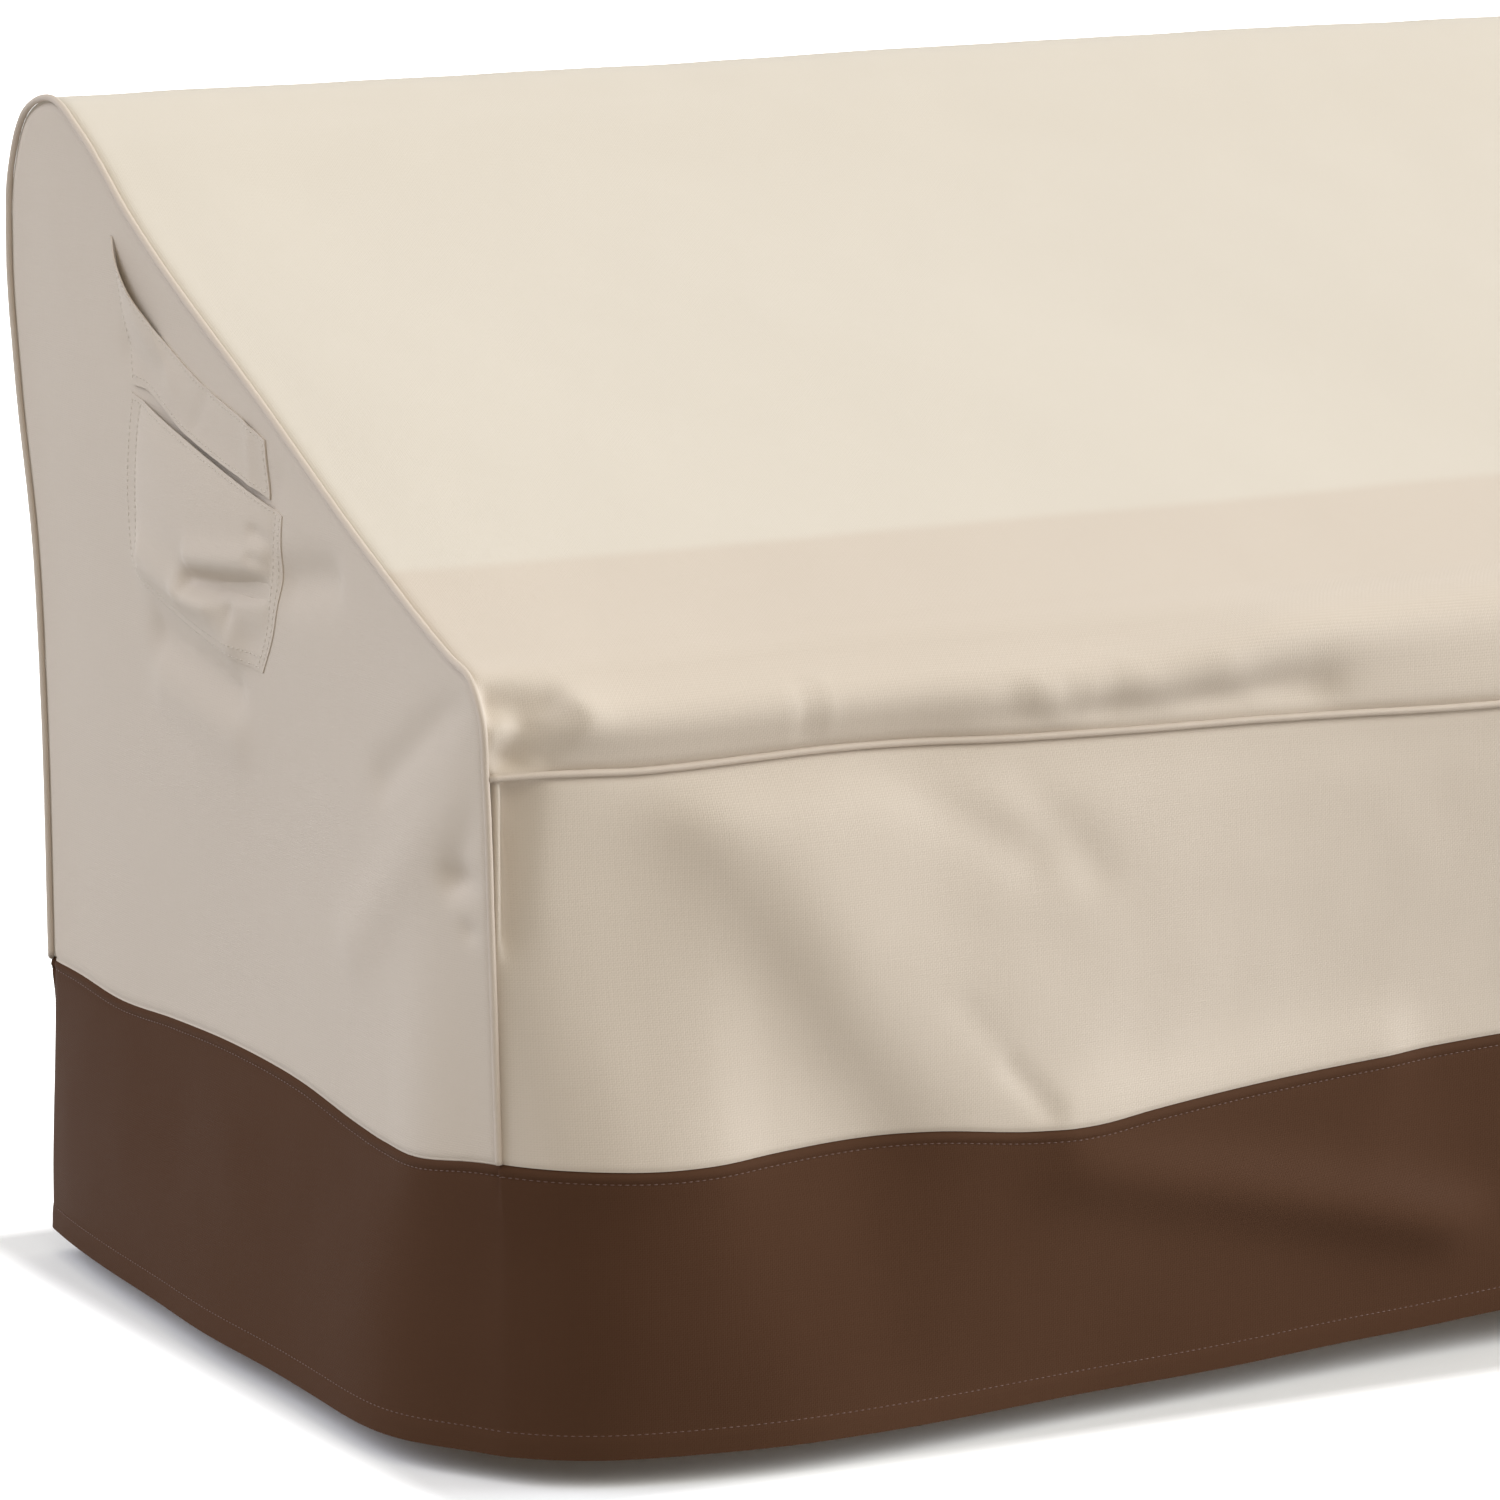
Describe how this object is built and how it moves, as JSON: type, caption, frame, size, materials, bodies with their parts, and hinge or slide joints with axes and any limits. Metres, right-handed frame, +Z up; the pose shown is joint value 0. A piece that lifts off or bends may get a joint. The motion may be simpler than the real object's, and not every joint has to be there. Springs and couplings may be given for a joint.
{
  "type": "outdoor sofa cover",
  "caption": "Fitted fabric cover for an outdoor sofa: sloping beige top and sides with piped edges, brown band round the foot, a handle and vent patch on each side; hollow and open below.",
  "frame": {"origin": "under the middle of the ridge, on the inner face of the cloth, where the back of the sofa holds the cover up", "axes": "+X along the width, to the right of someone who faces the front; the front faces -Y; +Z up"},
  "size_m": [1.995, 0.8536, 0.8651],
  "materials": {
    "beige_cloth": "matte woven polyester with a water-repellent coating",
    "brown_cloth": "matte woven polyester with a water-repellent coating",
    "beige_piping": "matte woven polyester wrapped on a cord"
  },
  "bodies": {
    "root": {"main_panel": "beige_cloth", "front_panel": "beige_cloth", "side_panel_left": "beige_cloth", "side_panel_right": "beige_cloth", "hem_band": "brown_cloth", "piping_front": "beige_piping", "piping_left": "beige_piping", "piping_right": "beige_piping", "handle_strap_left": "beige_cloth", "handle_strap_right": "beige_cloth", "vent_patch_left": "beige_cloth", "vent_patch_right": "beige_cloth"}
  },
  "joints": []
}
